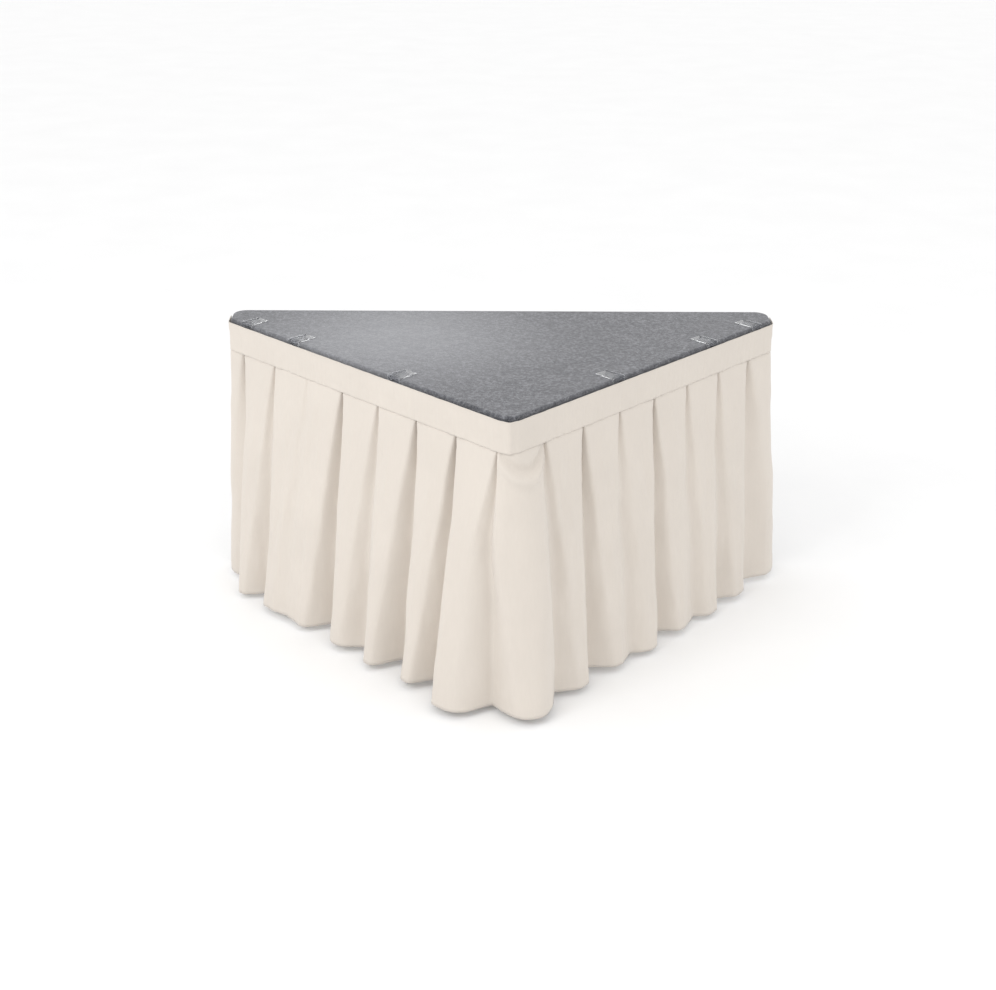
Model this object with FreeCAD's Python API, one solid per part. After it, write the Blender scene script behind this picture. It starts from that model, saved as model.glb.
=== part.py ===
"""Triangular stage riser platform, 24 inch height, on three plug-in telescoping legs.

Millimetres, +Z up. The right-angled corner points along -Y and the long side lies along +Y. The
origin is on the floor under the middle of the whole platform, skirt included. A carpeted plywood
deck is screwed to a welded frame of steel tube. Each corner of the frame has a socket, and a leg
plugs into it, held by a clamp knob. A second knob sets the leg's length, and a screw foot levels
it. A pleated skirt hangs from clips on the two short sides.
"""
import FreeCAD, Part
import math
import os

Vec = FreeCAD.Vector
UP = Vec(0, 0, 1)

# --- driving dimensions -------------------------------------------------------------------
SIDE = 914.4            # each short side of the deck, carpet included, to the sharp corner
DECK_TOP = 609.6        # top of the plywood
FRONT_RADIUS = 25.0     # plan radius of the carpeted front corner
BLUNT_END = 63.5        # width of the flat end that cuts off each sharp back corner
END_RADIUS = 15.0       # plan radius where a short side meets a blunt end
BACK_RADIUS = 28.0      # plan radius where the long side meets a blunt end
SKIRT_REACH = 52.0      # how far the hem stands in front of the sharp front corner

# deck and its covering
PANEL_THICK = 18.0
CARPET_THICK = 6.0
CARPET_EDGE = 5.0       # thickness of the carpet where it turns over the edge
CARPET_RETURN = 30.0    # width of the carpet glued under the panel
RETURN_THICK = 4.0
SCREW_HEAD_RADIUS = 4.5
SCREW_SHANK_RADIUS = 2.4
SCREW_HEAD_HEIGHT = 3.0
DECK_SCREW_BITE = 6.0   # deck screw's reach into the rail
PLATE_SCREW_BITE = 14.0    # plate screw's reach into the panel
PLATE_SCREW_OFFSET = 14.0    # plate screws from the leg socket's face

# frame
RAIL_INSET = 40.0       # carpet edge to the rail's outer face
RAIL_WIDTH = 25.0
RAIL_HEIGHT = 50.0
RAIL_WALL = 2.0
JOIST_SIZE = 25.0
JOIST_WALL = 1.5
CROSS_JOIST_FROM_BACK = 300.0
PLATE_THICK = 4.0
FRONT_PLATE_DEPTH = 150.0    # front plate, from the frame's inner corner towards the back
BACK_PLATE_WIDTH = 190.0     # back plates, from the frame's inner corner along X

# leg socket and its clamp
SOCKET_SIZE = 44.0
SOCKET_BORE = 40.0
SOCKET_LENGTH = 120.0
CLAMP_HEIGHT = 500.0    # height of the clamp screw
NUT_THICK = 8.0
NUT_FLATS = 16.0
STUD_RADIUS = 4.0
THREAD_GAP = 0.05       # radial clearance of every thread
KNOB_GAP = 3.0          # knob's hub to the face behind it
CONTACT_GAP = 0.05      # a screw's tip to the tube that it presses on

# hand knobs: head radius, head thickness, hub radius, hub length, depth of the stud in the knob
CLAMP_KNOB = (20.0, 13.0, 9.0, 6.0, 16.0)
LOCK_KNOB = (16.0, 11.0, 7.0, 5.0, 13.0)
KNOB_LOBES = 6
SCALLOP_RADIUS = 0.32   # radius of the hollows between the lobes, as a share of the head's
SCALLOP_REACH = 1.13    # their distance from the axis, as a share of the head's radius

# leg
LEG_SIZE = 38.1
LEG_WALL = 2.0
LEG_LENGTH = 330.0
LEG_TOP_GAP = 0.5       # leg cap to the corner plate
CAP_THICK = 4.0
CAP_DEPTH = 14.0
COLLAR_SIZE = 50.0
COLLAR_GRIP = 25.0      # collar above the end of the leg tube, and as much below it
INNER_SIZE = 31.75
INNER_WALL = 1.6
INNER_BOTTOM = 40.0
INNER_OVERLAP = 70.0    # inner tube inside the leg tube at full height
TUBE_CORNER = 3.0
FIT_GAP = 0.15          # plugs and collars to the tubes that they hold

# foot
FLANGE_THICK = 3.0
INSERT_DEPTH = 25.0
STEM_RADIUS = 5.0
STEM_TOP = 72.0
JAM_NUT_THICK = 6.0
JAM_NUT_FLATS = 17.0
HEX_THICK = 6.0
HEX_FLATS = 14.0
HEX_GAP = 0.2
PAD_RADIUS = 22.0
PAD_HEIGHT = 12.0
DISC_RADIUS = 8.0
DISC_LOW = 6.0
DISC_THICK = 3.0
DISC_GAP = 0.3

# skirt and its clips, as distances out from the carpet edge
CLIP_WIDTH = 36.0
CLIP_TONGUE = 50.0
CLIP_LOWER_TONGUE = 30.0
CLIP_THICK = 2.0
CLIP_GAP = 0.2
CLIP_PLACES = (1 / 3, 2 / 3, 0.84)    # fractions of a side, from the front corner
PAD_THICK = 1.2
PAD_DROP = 4.0          # hook pad's top below the band's
TAPE_THICK = 1.0
TAPE_DROP = 2.0         # loop tape's top below the band's
TAPE_HEIGHT = 30.0
BAND_THICK = 2.5
BAND_HEIGHT = 62.0
BAND_DROP = 7.0         # top of the band below the top of the carpet
SKIRT_THICK = 6.0
SKIRT_OVERRUN = 23.4    # how far the skirt runs on past the start of a blunt end's curve
SKIRT_FLARE = 30.0      # how far the hem stands out from the band
HEM_HEIGHT = 8.0

# --- values that follow from them ---------------------------------------------------------
ROOT2 = math.sqrt(2)
DEPTH = SIDE / ROOT2
BACK_Y = (DEPTH + SKIRT_REACH) / 2
APEX_Y = BACK_Y - DEPTH
CARPET_TOP = DECK_TOP + CARPET_THICK
PANEL_BOTTOM = DECK_TOP - PANEL_THICK
RETURN_BOTTOM = PANEL_BOTTOM - RETURN_THICK
RAIL_BOTTOM = PANEL_BOTTOM - RAIL_HEIGHT
PLATE_BOTTOM = PANEL_BOTTOM - PLATE_THICK
FRAME_INNER = RAIL_INSET + RAIL_WIDTH
LEG_TOP = PLATE_BOTTOM - LEG_TOP_GAP
TUBE_TOP = LEG_TOP - CAP_THICK
TUBE_BOTTOM = TUBE_TOP - LEG_LENGTH
COLLAR_BOTTOM = TUBE_BOTTOM - COLLAR_GRIP
LOCK_HEIGHT = TUBE_BOTTOM - COLLAR_GRIP / 2
FLANGE_BOTTOM = INNER_BOTTOM - FLANGE_THICK
BAND_TOP = CARPET_TOP - BAND_DROP
BAND_BOTTOM = BAND_TOP - BAND_HEIGHT
PAD_OUT = CLIP_GAP + CLIP_THICK
TAPE_OUT = PAD_OUT + PAD_THICK
BAND_OUT = TAPE_OUT + TAPE_THICK
END_REACH = SIDE / ROOT2 - BLUNT_END             # from the middle to a blunt end
END_CURVE = SIDE - ROOT2 * BLUNT_END - END_RADIUS * (ROOT2 - 1)    # start of its curve along a side
SKIRT_START = -2 * SKIRT_REACH                   # before it is mitred at the front corner
SKIRT_END = END_CURVE + SKIRT_OVERRUN


# --- shapes -------------------------------------------------------------------------------
def prism(points, low, high):
    """Extrude a closed outline of (x, y) points between two heights."""
    corners = [Vec(x, y, low) for x, y in points]
    face = Part.Face(Part.makePolygon(corners + corners[:1]))
    return face.extrude(UP * (high - low))


def upright_edges(solid):
    return [e for e in solid.Edges if abs(e.tangentAt(e.FirstParameter).z) > 0.999]


def round_upright_edges(solid, radius):
    return solid.makeFillet(radius, upright_edges(solid))


def square_bar(size, low, high, corner=0.0):
    """A square bar centred on the Z axis."""
    bar = Part.makeBox(size, size, high - low, Vec(-size / 2, -size / 2, low))
    return round_upright_edges(bar, corner) if corner else bar


def square_tube(size, bore, low, high, corner=TUBE_CORNER):
    wall = (size - bore) / 2
    inner_corner = max(corner - wall, 0.5)
    outside = square_bar(size, low, high, corner)
    return outside.cut(square_bar(bore, low - 1, high + 1, inner_corner))


def hexagon(flats, low, high):
    """A hexagonal prism on the Z axis, with its width across flats."""
    radius = flats / math.sqrt(3)
    turns = [math.radians(60 * i) for i in range(6)]
    return prism([(radius * math.cos(a), radius * math.sin(a)) for a in turns], low, high)


def rod(radius, low, high):
    return Part.makeCylinder(radius, high - low, Vec(0, 0, low))


def star_knob(radius, thick, hub_radius, hub_length, stud_depth):
    """A lobed hand knob on the Z axis, its hub starting at z = 0."""
    head = rod(radius, hub_length, hub_length + thick)
    head = head.makeFillet(thick / 4, [e for e in head.Edges if e.Closed])
    reach = radius * SCALLOP_REACH
    for i in range(KNOB_LOBES):
        angle = math.tau * (i + 0.5) / KNOB_LOBES
        middle = Vec(reach * math.cos(angle), reach * math.sin(angle), hub_length - 1)
        head = head.cut(Part.makeCylinder(radius * SCALLOP_RADIUS, thick + 2, middle))
    knob = head.fuse(rod(hub_radius, 0, hub_length + 1)).removeSplitter()
    return knob.cut(rod(STUD_RADIUS + THREAD_GAP, -1, stud_depth))


def lay_along_x(shape, start, height):
    """Turn a shape from the Z axis to the X axis, from x = start, at a height."""
    turned = shape.copy()
    turned.rotate(Vec(0, 0, 0), Vec(0, 1, 0), 90)
    turned.translate(Vec(start, 0, height))
    return turned


# --- plan geometry ------------------------------------------------------------------------
def corner_points(inset):
    """Front, left and right corners of the deck's triangle, moved in by a distance."""
    back = BACK_Y - inset
    reach = back - APEX_Y - ROOT2 * inset
    return [(0, APEX_Y + ROOT2 * inset), (-reach, back), (reach, back)]


def deck_outline(inset, low, high):
    """The deck's outline moved in by a distance: the triangle with blunt ends, corners rounded."""
    front, left, right = corner_points(inset)
    back = right[1]
    end = END_REACH - inset
    shoulder = back - (right[0] - end)
    solid = prism([front, (-end, shoulder), (-end, back), (end, back), (end, shoulder)], low, high)
    for radius, y in ((FRONT_RADIUS, front[1]), (END_RADIUS, shoulder), (BACK_RADIUS, back)):
        corner = [e for e in upright_edges(solid) if abs(e.BoundBox.YMin - y) < 0.01]
        solid = solid.makeFillet(radius - inset, corner)
    return solid


def on_right_side(shape):
    """Place a shape drawn with X along the right side from the front corner and Y inwards."""
    placed = shape.copy()
    placed.rotate(Vec(0, 0, 0), UP, 45)
    placed.translate(Vec(0, APEX_Y, 0))
    return placed


def mirrored(shape):
    return shape.mirror(Vec(0, 0, 0), Vec(1, 0, 0))


def side_box(start, end, out_from, out_to, low, high):
    """A box along the right side, between two distances out from the carpet edge."""
    corner = Vec(start, -out_to, low)
    return on_right_side(Part.makeBox(end - start, out_to - out_from, high - low, corner))


def leg_corners():
    """Name, plan position of the leg's axis, and the way its clamp knob faces."""
    front_offset = FRAME_INNER + SOCKET_SIZE / 2
    back_offset = FRAME_INNER + SOCKET_SIZE / ROOT2 + 1
    back_y = BACK_Y - back_offset
    back_x = back_y - APEX_Y - ROOT2 * front_offset
    return [("front", (0, APEX_Y + ROOT2 * front_offset), 135),
            ("left", (-back_x, back_y), -45),
            ("right", (back_x, back_y), -135)]


def at_leg(shape, place, angle):
    """Move a shape from the leg's own axis to its place, its +X turned to the clamp's side."""
    placed = shape.copy()
    placed.rotate(Vec(0, 0, 0), UP, angle)
    placed.translate(Vec(place[0], place[1], 0))
    return placed


# --- deck ---------------------------------------------------------------------------------
def deck_screw_points():
    """Screws along the middle of the three rails."""
    front, left, right = corner_points(RAIL_INSET + RAIL_WIDTH / 2)
    points = []
    for start, end, fractions in ((front, left, (0.14, 0.38, 0.62, 0.84)),
                                  (front, right, (0.14, 0.38, 0.62, 0.84)),
                                  (left, right, (0.12, 0.31, 0.5, 0.69, 0.88))):
        for f in fractions:
            points.append((start[0] + f * (end[0] - start[0]), start[1] + f * (end[1] - start[1])))
    return points


def deck_screws():
    """Countersunk screws from the deck into the rails' top walls."""
    neck = DECK_TOP - SCREW_HEAD_HEIGHT
    screws = []
    for x, y in deck_screw_points():
        head = Part.makeCone(SCREW_SHANK_RADIUS, SCREW_HEAD_RADIUS, SCREW_HEAD_HEIGHT, Vec(0, 0, neck))
        screw = rod(SCREW_SHANK_RADIUS, PANEL_BOTTOM - DECK_SCREW_BITE, neck).fuse(head)
        screw.translate(Vec(x, y, 0))
        screws.append(screw.removeSplitter())
    return screws


def deck_panel(screws):
    panel = deck_outline(CARPET_EDGE, PANEL_BOTTOM, DECK_TOP)
    return panel.cut(Part.makeCompound(screws))


def carpet_cover(clips):
    """Carpet over the top, round the edge and a short way under the panel.

    The skirt clips press their top tongues flush into the pile.
    """
    whole = deck_outline(0, RETURN_BOTTOM, CARPET_TOP)
    whole = whole.makeFillet(3.0, [e for e in whole.Edges if e.BoundBox.ZMin > CARPET_TOP - 0.01])
    panel = deck_outline(CARPET_EDGE, PANEL_BOTTOM, DECK_TOP)
    opening = prism(corner_points(CARPET_RETURN), RETURN_BOTTOM - 1, PANEL_BOTTOM)
    return whole.cut(panel).cut(opening).cut(Part.makeCompound(clips))


# --- frame --------------------------------------------------------------------------------
def rail(start, end, screws):
    """A rectangular tube between two corners, mitred where it meets its neighbours."""
    def band(inset_out, inset_in, low, high):
        outer = corner_points(inset_out)
        inner = corner_points(inset_in)
        return prism([outer[start], outer[end], inner[end], inner[start]], low, high)
    tube = band(RAIL_INSET, FRAME_INNER, RAIL_BOTTOM, PANEL_BOTTOM)
    hollow = band(RAIL_INSET + RAIL_WALL, FRAME_INNER - RAIL_WALL,
                  RAIL_BOTTOM + RAIL_WALL, PANEL_BOTTOM - RAIL_WALL)
    return tube.cut(hollow).cut(Part.makeCompound(screws))


def joist_section(length):
    """A square tube along X, its top face under the deck."""
    low = PANEL_BOTTOM - JOIST_SIZE
    outside = Part.makeBox(length, JOIST_SIZE, JOIST_SIZE, Vec(0, -JOIST_SIZE / 2, low))
    inner = JOIST_SIZE - 2 * JOIST_WALL
    hollow = Part.makeBox(length + 2, inner, inner, Vec(-1, -inner / 2, low + JOIST_WALL))
    return outside.cut(hollow)


def cross_joist():
    """Runs between the two side rails, cut to their angle."""
    joist = joist_section(2 * DEPTH)
    joist.translate(Vec(-DEPTH, BACK_Y - CROSS_JOIST_FROM_BACK, 0))
    return joist.common(prism(corner_points(FRAME_INNER), RAIL_BOTTOM, PANEL_BOTTOM + 1))


def centre_joist():
    """Runs from the cross joist to the back rail."""
    start = BACK_Y - CROSS_JOIST_FROM_BACK + JOIST_SIZE / 2
    joist = joist_section(BACK_Y - FRAME_INNER - start)
    joist.rotate(Vec(0, 0, 0), UP, 90)
    joist.translate(Vec(0, start, 0))
    return joist


def corner_plate_outline(name):
    """The part of the frame's inside that one corner plate fills."""
    front, left, right = corner_points(FRAME_INNER)
    if name == "front":
        return [front, (-FRONT_PLATE_DEPTH, front[1] + FRONT_PLATE_DEPTH),
                (FRONT_PLATE_DEPTH, front[1] + FRONT_PLATE_DEPTH)]
    outline = [left, (left[0] + BACK_PLATE_WIDTH, left[1]),
               (left[0] + BACK_PLATE_WIDTH, left[1] - BACK_PLATE_WIDTH)]
    return outline if name == "left" else [(-x, y) for x, y in outline]


def plate_screw_points():
    """Three screws beside each leg socket, the middle one off the socket's corner."""
    bearings = {"front": (45, 90, 135), "left": (-45, 0, 45), "right": (-135, 180, 135)}
    beside_face = SOCKET_SIZE / 2 + PLATE_SCREW_OFFSET
    off_corner = SOCKET_SIZE / ROOT2 + PLATE_SCREW_OFFSET
    points = []
    for name, (x, y), _ in leg_corners():
        for bearing, distance in zip(bearings[name], (beside_face, off_corner, beside_face)):
            a = math.radians(bearing)
            points.append((x + distance * math.cos(a), y + distance * math.sin(a)))
    return points


def plate_screws():
    """Pan-head screws from below, through the corner plates into the deck."""
    screws = []
    for x, y in plate_screw_points():
        head = rod(SCREW_HEAD_RADIUS, PLATE_BOTTOM - SCREW_HEAD_HEIGHT, PLATE_BOTTOM)
        screw = head.fuse(rod(SCREW_SHANK_RADIUS, PLATE_BOTTOM, PANEL_BOTTOM + PLATE_SCREW_BITE))
        screw.translate(Vec(x, y, 0))
        screws.append(screw.removeSplitter())
    return screws


def leg_socket():
    """Square tube under a corner plate, with a hole for the clamp screw."""
    tube = square_tube(SOCKET_SIZE, SOCKET_BORE, PLATE_BOTTOM - SOCKET_LENGTH, PLATE_BOTTOM)
    hole = rod(STUD_RADIUS + 0.3, 0, SOCKET_SIZE)
    return tube.cut(lay_along_x(hole, 0, CLAMP_HEIGHT))


def socket_nut():
    nut = hexagon(NUT_FLATS, 0, NUT_THICK).cut(rod(STUD_RADIUS + THREAD_GAP, -1, NUT_THICK + 1))
    return lay_along_x(nut, SOCKET_SIZE / 2, CLAMP_HEIGHT)


# --- hand screws --------------------------------------------------------------------------
def hand_screw(tip, knob_start, knob_sizes, height):
    """A knob and its stud along X, the stud's tip just clear of the tube that it presses on."""
    stud_depth = knob_sizes[-1]
    knob = lay_along_x(star_knob(*knob_sizes), knob_start, height)
    start = tip + CONTACT_GAP
    stud = lay_along_x(rod(STUD_RADIUS, 0, knob_start + stud_depth - start), start, height)
    return knob, stud


def clamp_parts():
    """Knob and stud that hold the leg in its socket."""
    return hand_screw(LEG_SIZE / 2, SOCKET_SIZE / 2 + NUT_THICK + KNOB_GAP, CLAMP_KNOB, CLAMP_HEIGHT)


def lock_parts():
    """Knob and stud that set how far the inner tube stands out."""
    return hand_screw(INNER_SIZE / 2, COLLAR_SIZE / 2 + KNOB_GAP, LOCK_KNOB, LOCK_HEIGHT)


# --- leg ----------------------------------------------------------------------------------
def leg_tube():
    return square_tube(LEG_SIZE, LEG_SIZE - 2 * LEG_WALL, TUBE_BOTTOM, TUBE_TOP)


def leg_cap():
    """Plug that closes the top of the leg tube."""
    top = square_bar(LEG_SIZE, TUBE_TOP, LEG_TOP, TUBE_CORNER)
    plug_size = LEG_SIZE - 2 * LEG_WALL - 2 * FIT_GAP
    return top.fuse(square_bar(plug_size, TUBE_TOP - CAP_DEPTH, TUBE_TOP, 1.0)).removeSplitter()


def leg_collar():
    """Moulded collar that closes the leg tube's lower end and guides the inner tube."""
    collar = square_bar(COLLAR_SIZE, COLLAR_BOTTOM, TUBE_BOTTOM + COLLAR_GRIP, 6.0)
    rims = [e for e in collar.Edges if abs(e.BoundBox.ZMax - e.BoundBox.ZMin) < 0.01]
    collar = collar.makeChamfer(1.5, rims)
    grip = square_bar(LEG_SIZE + 2 * FIT_GAP, TUBE_BOTTOM, TUBE_BOTTOM + 2 * COLLAR_GRIP, TUBE_CORNER)
    guide = square_bar(INNER_SIZE + 4 * FIT_GAP, COLLAR_BOTTOM - 1, TUBE_BOTTOM + 1, TUBE_CORNER)
    screw_hole = lay_along_x(rod(STUD_RADIUS + THREAD_GAP, 0, COLLAR_SIZE), 0, LOCK_HEIGHT)
    return collar.cut(grip).cut(guide).cut(screw_hole)


def inner_tube():
    bore = INNER_SIZE - 2 * INNER_WALL
    return square_tube(INNER_SIZE, bore, INNER_BOTTOM, TUBE_BOTTOM + INNER_OVERLAP, 2.5)


# --- foot ---------------------------------------------------------------------------------
def thread_hole(low, high):
    return rod(STEM_RADIUS + THREAD_GAP, low - 1, high + 1)


def foot_insert():
    """Threaded plug in the bottom of the inner tube."""
    top = INNER_BOTTOM + INSERT_DEPTH
    plug_size = INNER_SIZE - 2 * INNER_WALL - 2 * FIT_GAP
    flange = square_bar(INNER_SIZE, FLANGE_BOTTOM, INNER_BOTTOM, 2.5)
    plug = square_bar(plug_size, INNER_BOTTOM, top, 1.0)
    return flange.fuse(plug).removeSplitter().cut(thread_hole(FLANGE_BOTTOM, top))


def jam_nut():
    low = FLANGE_BOTTOM - JAM_NUT_THICK
    return hexagon(JAM_NUT_FLATS, low, FLANGE_BOTTOM).cut(thread_hole(low, FLANGE_BOTTOM))


def foot_stem():
    """Threaded stem with a hexagon to turn it by and a disc that the pad holds."""
    hex_top = FLANGE_BOTTOM - JAM_NUT_THICK - HEX_GAP
    stem = rod(STEM_RADIUS, DISC_LOW + DISC_THICK, STEM_TOP)
    stem = stem.fuse(rod(DISC_RADIUS, DISC_LOW, DISC_LOW + DISC_THICK))
    return stem.fuse(hexagon(HEX_FLATS, hex_top - HEX_THICK, hex_top)).removeSplitter()


def foot_pad():
    """Round rubber pad, moulded round the stem's disc."""
    pad = rod(PAD_RADIUS, 0, PAD_HEIGHT)
    pad = pad.makeChamfer(3.0, [e for e in pad.Edges if e.Closed and e.BoundBox.ZMin > 1])
    disc_room = rod(DISC_RADIUS + DISC_GAP, DISC_LOW, DISC_LOW + DISC_THICK)
    neck_room = rod(STEM_RADIUS + DISC_GAP, DISC_LOW + DISC_THICK, PAD_HEIGHT + 1)
    return pad.cut(disc_room).cut(neck_room)


# --- skirt --------------------------------------------------------------------------------
def skirt_clips():
    """Clear C-shaped clips that grip the deck's edge, three on each short side."""
    clips = []
    for place in CLIP_PLACES:
        start, end = place * SIDE - CLIP_WIDTH / 2, place * SIDE + CLIP_WIDTH / 2
        top = side_box(start, end, -CLIP_TONGUE, PAD_OUT, CARPET_TOP - CLIP_THICK, CARPET_TOP)
        web = side_box(start, end, CLIP_GAP, PAD_OUT, RETURN_BOTTOM - CLIP_THICK, CARPET_TOP)
        low = side_box(start, end, -CLIP_LOWER_TONGUE, PAD_OUT, RETURN_BOTTOM - CLIP_THICK, RETURN_BOTTOM)
        clip = top.fuse([web, low]).removeSplitter()
        clips += [clip, mirrored(clip)]
    return clips


def clip_pads():
    """Hook pads on the clips' outer faces."""
    top = BAND_TOP - PAD_DROP
    pads = []
    for place in CLIP_PLACES:
        start, end = place * SIDE - CLIP_WIDTH / 2, place * SIDE + CLIP_WIDTH / 2
        pad = side_box(start, end, PAD_OUT, TAPE_OUT, RETURN_BOTTOM, top)
        pads += [pad, mirrored(pad)]
    return pads


def skirt_tape():
    """Loop tape sewn along the back of the skirt's band."""
    top = BAND_TOP - TAPE_DROP
    return side_box(FRONT_RADIUS, END_CURVE, TAPE_OUT, BAND_OUT, top - TAPE_HEIGHT, top)


def trim_skirt(shape):
    """Mitre a skirt piece at the front corner and round its point off."""
    keep = Part.makeBox(2 * SIDE, 2 * SIDE, 2 * SIDE, Vec(0, APEX_Y - SKIRT_REACH, -SIDE / 2))
    return shape.common(keep)


def skirt_band():
    band = side_box(SKIRT_START, SKIRT_END, BAND_OUT, BAND_OUT + BAND_THICK, BAND_BOTTOM, BAND_TOP)
    return trim_skirt(band)


def skirt_panel():
    """The hanging cloth as a plain leaning sheet, at the mean of its folds."""
    profile = [(BAND_OUT - 1, BAND_BOTTOM), (BAND_OUT - 1 + SKIRT_FLARE, HEM_HEIGHT),
               (BAND_OUT - 1 + SKIRT_FLARE + SKIRT_THICK, HEM_HEIGHT),
               (BAND_OUT - 1 + SKIRT_THICK, BAND_BOTTOM)]
    points = [Vec(SKIRT_START, -out, height) for out, height in profile]
    face = Part.Face(Part.makePolygon(points + points[:1]))
    return trim_skirt(on_right_side(face.extrude(Vec(SKIRT_END - SKIRT_START, 0, 0))))


# --- assembly -----------------------------------------------------------------------------
def save(name, shape):
    """Write one node, which may be a group of separate solids."""
    solids = shape if isinstance(shape, list) else [shape]
    group = solids[0] if len(solids) == 1 else Part.makeCompound(solids)
    group.exportStep(os.path.join("parts", name + ".step"))


def build_deck_and_frame():
    screws = deck_screws()
    fixings = plate_screws()
    clips = skirt_clips()
    save("deck_screws", screws)
    save("plate_screws", fixings)
    save("deck_panel", deck_panel(screws).cut(Part.makeCompound(fixings)))
    save("skirt_clips", clips)
    save("carpet_cover", carpet_cover(clips))
    for name, start, end in (("left", 0, 1), ("right", 0, 2), ("back", 1, 2)):
        save("rail_" + name, rail(start, end, screws))
    save("cross_joist", cross_joist())
    save("centre_joist", centre_joist())
    nuts = []
    for name, place, angle in leg_corners():
        plate = prism(corner_plate_outline(name), PLATE_BOTTOM, PANEL_BOTTOM)
        save("corner_plate_" + name, plate.cut(Part.makeCompound(fixings)))
        save("leg_socket_" + name, at_leg(leg_socket(), place, angle))
        nuts.append(at_leg(socket_nut(), place, angle))
    save("socket_nuts", nuts)


def build_legs():
    clamp_knob, clamp_stud = clamp_parts()
    lock_knob, lock_stud = lock_parts()
    pieces = {"clamp_knob": clamp_knob, "clamp_stud": clamp_stud, "leg_cap": leg_cap(),
              "leg_tube": leg_tube(), "leg_collar": leg_collar(), "lock_knob": lock_knob,
              "lock_stud": lock_stud, "inner_tube": inner_tube(), "foot_insert": foot_insert(),
              "jam_nut": jam_nut(), "foot_stem": foot_stem(), "foot_pad": foot_pad()}
    for corner, place, angle in leg_corners():
        for name, shape in pieces.items():
            save(name + "_" + corner, at_leg(shape, place, angle))


def build_skirt():
    save("clip_pads", clip_pads())
    for name, shape in (("skirt_tape", skirt_tape()), ("skirt_band", skirt_band()),
                        ("skirt_panel", skirt_panel())):
        save(name + "_right", shape)
        save(name + "_left", mirrored(shape))


os.makedirs("parts", exist_ok=True)
build_deck_and_frame()
build_legs()
build_skirt()
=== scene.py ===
"""Looks of the triangular stage riser: carpet, pleated skirt, clips, and a finish for every part.

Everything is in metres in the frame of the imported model. The right-angled corner points along -Y.
"""

import math

import bpy
import numpy as np
from mathutils import Matrix, Vector
from mathutils.geometry import delaunay_2d_cdt


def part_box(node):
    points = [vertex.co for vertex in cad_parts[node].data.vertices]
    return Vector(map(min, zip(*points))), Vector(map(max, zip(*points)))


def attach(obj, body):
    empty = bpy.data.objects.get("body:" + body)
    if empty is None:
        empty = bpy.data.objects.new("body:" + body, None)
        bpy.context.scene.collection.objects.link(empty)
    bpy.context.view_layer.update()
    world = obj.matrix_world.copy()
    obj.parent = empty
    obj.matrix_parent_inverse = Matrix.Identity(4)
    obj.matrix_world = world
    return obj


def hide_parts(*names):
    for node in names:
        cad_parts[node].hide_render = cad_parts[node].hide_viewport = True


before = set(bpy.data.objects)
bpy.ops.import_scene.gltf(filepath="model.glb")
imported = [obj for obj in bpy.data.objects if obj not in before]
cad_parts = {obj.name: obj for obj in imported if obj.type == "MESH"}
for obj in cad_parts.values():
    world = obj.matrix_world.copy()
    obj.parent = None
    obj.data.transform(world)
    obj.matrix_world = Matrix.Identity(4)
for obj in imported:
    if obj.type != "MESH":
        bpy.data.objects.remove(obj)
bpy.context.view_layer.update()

ROOT2 = math.sqrt(2)
HALF = 1 / ROOT2
CORNERS = ("front", "left", "right")

# the deck, read from the frame
CARPET_LOW, CARPET_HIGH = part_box("carpet_cover")
CARPET_TOP = CARPET_HIGH[2]
BACK_Y = CARPET_HIGH[1]
BAND_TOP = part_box("skirt_band_right")[1][2]
BAND_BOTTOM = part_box("skirt_band_right")[0][2]
HEM_LIFT = 0.007            # the cloth's hem, above the bottom of its sheet in the frame
HEM_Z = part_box("skirt_panel_right")[0][2] + HEM_LIFT

SIDE = 0.9144               # a short side, to the sharp corner
FRONT_RADIUS = 0.025
BLUNT_END = 0.0635          # width of the flat end across each back corner
END_RADIUS = 0.015          # where a short side meets a blunt end
BACK_RADIUS = 0.028         # where the long side meets a blunt end
APEX_Y = BACK_Y - SIDE * HALF
END_REACH = SIDE * HALF - BLUNT_END
END_CURVE = SIDE - ROOT2 * BLUNT_END - END_RADIUS * (ROOT2 - 1)    # start of its curve along a side
QUARTER = math.pi / 4

# skirt
BAND_OUT = 0.0054           # middle of the band's cloth, out from the carpet's edge
BAND_THICK = 0.0012
DRAPE_THICK = 0.0008
HEM_FOLD = 0.025            # height of the hem's fold, where its stitches run
DRAPE_OUT = 0.0042          # the pleated cloth's top, tucked behind the band
TUCK = 0.012                # how far it runs up behind the band
HEM_CORNER = 0.100          # corner radius of the line that the hem's folds are measured from
END_RUN = 0.038             # how far the skirt runs along each blunt end
SLIT_MOUTH = 0.035          # half width of a closed slit, as a share of half a pleat

# carpet and clips
PAINTED_SHEEN_PLACE = (-0.22, 0.17)  # middle of the carpet's paler patch, a painted sheen of light from the back left, and how far it reaches
PAINTED_SHEEN_REACH = 0.42
CLIP_PLACES = (1 / 3, 2 / 3, 0.84)    # fractions of a side, from the front corner
rng = np.random.default_rng(24)


# --- small helpers ------------------------------------------------------------------------
def mesh_object(name, verts, faces, material, smooth=True):
    mesh = bpy.data.meshes.new(name)
    mesh.from_pydata([tuple(v) for v in verts], [], faces)
    mesh.materials.append(material)
    mesh.update()
    if smooth:
        mesh.shade_smooth()
    piece = bpy.data.objects.new(name, mesh)
    bpy.context.collection.objects.link(piece)
    return piece


def grid_faces(rows, columns, closed=False):
    """Quads of a grid of points stored row by row."""
    last = columns if closed else columns - 1
    faces = []
    for r in range(rows - 1):
        for c in range(last):
            n = (c + 1) % columns
            faces.append((r * columns + c, r * columns + n, (r + 1) * columns + n, (r + 1) * columns + c))
    return faces


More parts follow.
